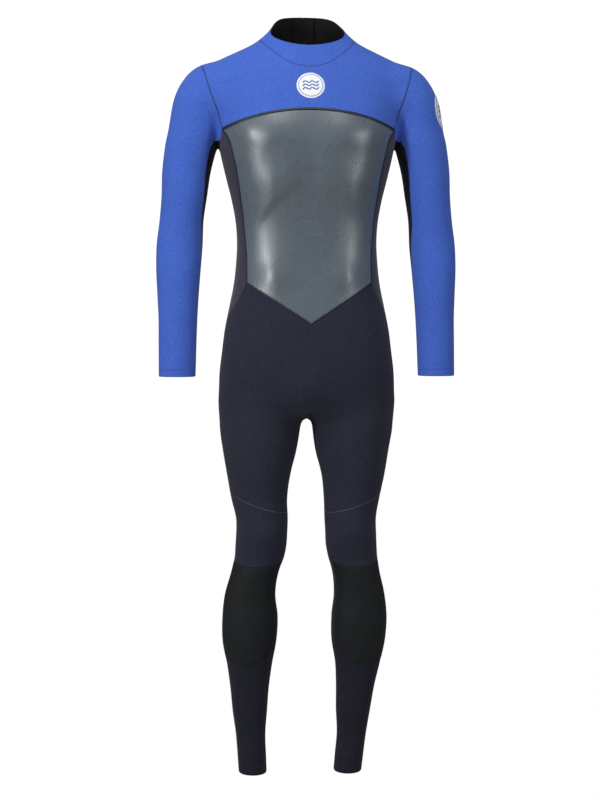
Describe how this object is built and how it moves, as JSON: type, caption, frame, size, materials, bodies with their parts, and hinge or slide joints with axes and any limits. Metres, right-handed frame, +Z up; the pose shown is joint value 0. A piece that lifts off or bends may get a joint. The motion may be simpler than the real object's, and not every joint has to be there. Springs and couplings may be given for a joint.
{
  "type": "full wetsuit",
  "caption": "Long-sleeved, long-legged neoprene wetsuit with a back zip, shaped as worn, with bending elbows, knees, hips and shoulders.",
  "frame": {"origin": "hanger point, in the middle of the neck opening at the top of the shoulders", "axes": "+Z up, -Y the front, +X towards the wearer's left sleeve"},
  "size_m": [0.59, 0.2305, 1.5085],
  "materials": {
    "blue_jersey": "matt heather nylon jersey over foam",
    "grey_mesh_skin": "satin embossed mesh-skin rubber",
    "navy_jersey": "matt nylon jersey",
    "side_jersey": "matt nylon jersey",
    "black_jersey": "matt nylon jersey",
    "shin_jersey": "matt nylon jersey",
    "knee_pad": "matt textured rubber coating",
    "seam_binding": "satin bonded tape",
    "zip_webbing": "woven polyester",
    "zip_resin": "moulded acetal",
    "badge_print": "heat-pressed print"
  },
  "bodies": {
    "torso": {"collar": "blue_jersey", "front_yoke": "blue_jersey", "chest_seam_tape": "seam_binding", "chest_panel": "grey_mesh_skin", "front_hip_panel": "navy_jersey", "seat_panel": "navy_jersey", "crotch_gusset": "black_jersey", "zip_bottom_stop": "zip_resin", "zip_flap": "zip_webbing", "chest_badge": "badge_print", "back_yoke_right": "blue_jersey", "back_panel_right": "navy_jersey", "side_panel_right": "side_jersey", "sleeve_cap_right": "blue_jersey", "underarm_gusset_right": "black_jersey", "zip_tape_right": "zip_webbing", "zip_teeth_right": "zip_resin", "hip_front_right": "navy_jersey", "hip_back_right": "navy_jersey", "back_yoke_left": "blue_jersey", "back_panel_left": "navy_jersey", "side_panel_left": "side_jersey", "sleeve_cap_left": "blue_jersey", "underarm_gusset_left": "black_jersey", "zip_tape_left": "zip_webbing", "zip_teeth_left": "zip_resin", "hip_front_left": "navy_jersey", "hip_back_left": "navy_jersey"},
    "zip_slider": {"zip_slider": "zip_resin"},
    "zip_puller": {"zip_puller": "zip_resin"},
    "collar_tab": {"collar_tab": "zip_webbing"},
    "upper_arm_right": {"upper_sleeve_right": "blue_jersey", "underarm_panel_right": "black_jersey", "elbow_sleeve_right": "blue_jersey"},
    "forearm_right": {"forearm_sleeve_right": "blue_jersey", "wrist_hem_right": "blue_jersey"},
    "thigh_right": {"thigh_front_right": "navy_jersey", "thigh_back_right": "navy_jersey", "knee_front_right": "navy_jersey", "knee_back_right": "navy_jersey", "knee_pad_upper_right": "knee_pad"},
    "shin_right": {"knee_pad_lower_right": "knee_pad", "shin_front_right": "shin_jersey", "calf_back_right": "shin_jersey", "ankle_hem_right": "shin_jersey"},
    "upper_arm_left": {"upper_sleeve_left": "blue_jersey", "underarm_panel_left": "black_jersey", "elbow_sleeve_left": "blue_jersey"},
    "forearm_left": {"forearm_sleeve_left": "blue_jersey", "wrist_hem_left": "blue_jersey"},
    "thigh_left": {"thigh_front_left": "navy_jersey", "thigh_back_left": "navy_jersey", "knee_front_left": "navy_jersey", "knee_back_left": "navy_jersey", "knee_pad_upper_left": "knee_pad"},
    "shin_left": {"knee_pad_lower_left": "knee_pad", "shin_front_left": "shin_jersey", "calf_back_left": "shin_jersey", "ankle_hem_left": "shin_jersey"}
  },
  "joints": [
    {"name": "shoulder_right", "type": "hinge", "parent": "torso", "child": "upper_arm_right", "pos_m": [-0.216, -0.01, -0.158], "axis": [0, 1, 0], "range_deg": [-3, 40], "stiffness_Nm_per_rad": 1.5, "deforming": ["sleeve_cap_right", "underarm_gusset_right"]},
    {"name": "elbow_right", "type": "hinge", "parent": "upper_arm_right", "child": "forearm_right", "pos_m": [-0.248, -0.013, -0.385], "axis": [-1, 0, 0], "range_deg": [0, 80], "stiffness_Nm_per_rad": 0.8, "deforming": ["elbow_sleeve_right"]},
    {"name": "hip_right", "type": "hinge", "parent": "torso", "child": "thigh_right", "pos_m": [-0.091, -0.013, -0.775], "axis": [-1, 0, 0], "range_deg": [-12, 45], "stiffness_Nm_per_rad": 3, "deforming": ["hip_front_right", "hip_back_right"]},
    {"name": "knee_right", "type": "hinge", "parent": "thigh_right", "child": "shin_right", "pos_m": [-0.092, -0.019, -0.965], "axis": [1, 0, 0], "range_deg": [0, 85], "stiffness_Nm_per_rad": 1.5, "deforming": ["knee_front_right", "knee_back_right", "knee_pad_upper_right"]},
    {"name": "shoulder_left", "type": "hinge", "parent": "torso", "child": "upper_arm_left", "pos_m": [0.216, -0.01, -0.158], "axis": [0, -1, 0], "range_deg": [-3, 40], "stiffness_Nm_per_rad": 1.5, "deforming": ["sleeve_cap_left", "underarm_gusset_left"]},
    {"name": "elbow_left", "type": "hinge", "parent": "upper_arm_left", "child": "forearm_left", "pos_m": [0.248, -0.013, -0.385], "axis": [-1, 0, 0], "range_deg": [0, 80], "stiffness_Nm_per_rad": 0.8, "deforming": ["elbow_sleeve_left"]},
    {"name": "hip_left", "type": "hinge", "parent": "torso", "child": "thigh_left", "pos_m": [0.091, -0.013, -0.775], "axis": [-1, 0, 0], "range_deg": [-12, 45], "stiffness_Nm_per_rad": 3, "deforming": ["hip_front_left", "hip_back_left"]},
    {"name": "knee_left", "type": "hinge", "parent": "thigh_left", "child": "shin_left", "pos_m": [0.087, -0.019, -0.965], "axis": [1, 0, 0], "range_deg": [0, 85], "stiffness_Nm_per_rad": 1.5, "deforming": ["knee_front_left", "knee_back_left", "knee_pad_upper_left"]},
    {"name": "zip_slide", "type": "slide", "parent": "torso", "child": "zip_slider", "axis": [0, 0, 1], "range_m": [-0.42, 0]},
    {"name": "zip_puller_swing", "type": "hinge", "parent": "zip_slider", "child": "zip_puller", "pos_m": [0, 0.0751, 0.044], "axis": [1, 0, 0], "range_deg": [0, 120]},
    {"name": "collar_tab_open", "type": "hinge", "parent": "torso", "child": "collar_tab", "pos_m": [-0.034, 0.0608, 0.07], "axis": [0, 0, 1], "range_deg": [0, 140]}
  ]
}
